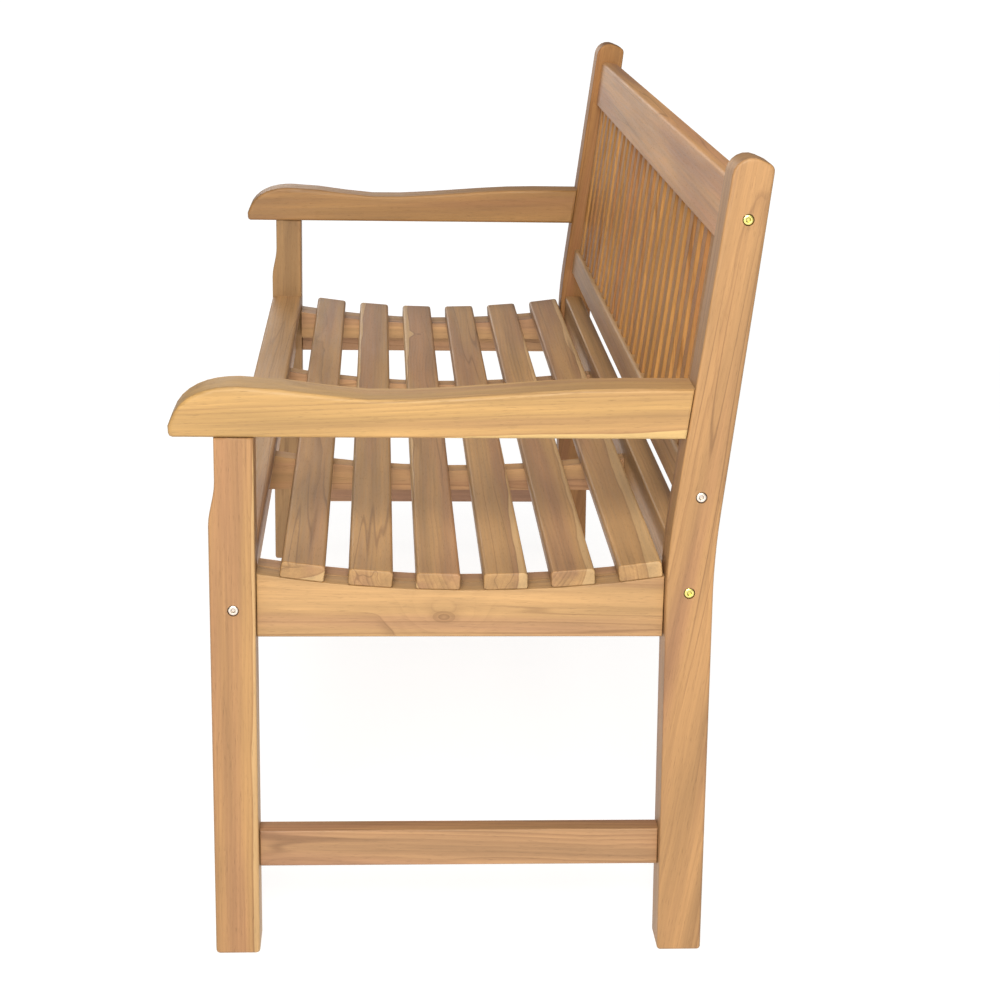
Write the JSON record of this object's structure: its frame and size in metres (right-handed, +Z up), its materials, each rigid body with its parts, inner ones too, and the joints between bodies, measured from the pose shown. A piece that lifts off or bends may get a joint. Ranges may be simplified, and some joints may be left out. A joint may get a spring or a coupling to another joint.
{
  "type": "garden bench",
  "caption": "Slatted wooden garden bench with a dished seat, shaped arms, raked back posts and an open slatted back between a top and a lower rail.",
  "frame": {"origin": "on the ground under the middle of the bench", "axes": "+X along the seat towards the sitter's left, +Y from the front to the back, +Z up"},
  "size_m": [1.5, 0.6271, 0.8989],
  "materials": {
    "teak": "smooth unpainted hardwood, fine straight grain",
    "brass": "bright socket-head bolts",
    "steel": "bright socket-head bolts"
  },
  "bodies": {
    "root": {"arm_left": "teak", "arm_right": "teak", "back_post_left": "teak", "back_post_right": "teak", "back_seat_rail": "teak", "back_slat_1": "teak", "back_slat_10": "teak", "back_slat_11": "teak", "back_slat_12": "teak", "back_slat_13": "teak", "back_slat_14": "teak", "back_slat_15": "teak", "back_slat_16": "teak", "back_slat_17": "teak", "back_slat_18": "teak", "back_slat_19": "teak", "back_slat_2": "teak", "back_slat_20": "teak", "back_slat_21": "teak", "back_slat_22": "teak", "back_slat_23": "teak", "back_slat_24": "teak", "back_slat_25": "teak", "back_slat_3": "teak", "back_slat_4": "teak", "back_slat_5": "teak", "back_slat_6": "teak", "back_slat_7": "teak", "back_slat_8": "teak", "back_slat_9": "teak", "bolt_back_seat_rail_left": "brass", "bolt_back_seat_rail_right": "brass", "bolt_front_rail_left": "steel", "bolt_front_rail_right": "steel", "bolt_lower_back_rail_left": "steel", "bolt_lower_back_rail_right": "steel", "bolt_top_rail_left": "brass", "bolt_top_rail_right": "brass", "front_leg_left": "teak", "front_leg_right": "teak", "front_seat_rail": "teak", "lower_back_rail": "teak", "seat_batten_end_left": "teak", "seat_batten_end_right": "teak", "seat_batten_middle_left": "teak", "seat_batten_middle_right": "teak", "seat_slat_1": "teak", "seat_slat_2": "teak", "seat_slat_3": "teak", "seat_slat_4": "teak", "seat_slat_5": "teak", "seat_slat_6": "teak", "seat_slat_front": "teak", "side_rail_left": "teak", "side_rail_right": "teak", "stretcher_left": "teak", "stretcher_right": "teak", "top_rail": "teak"}
  },
  "joints": []
}
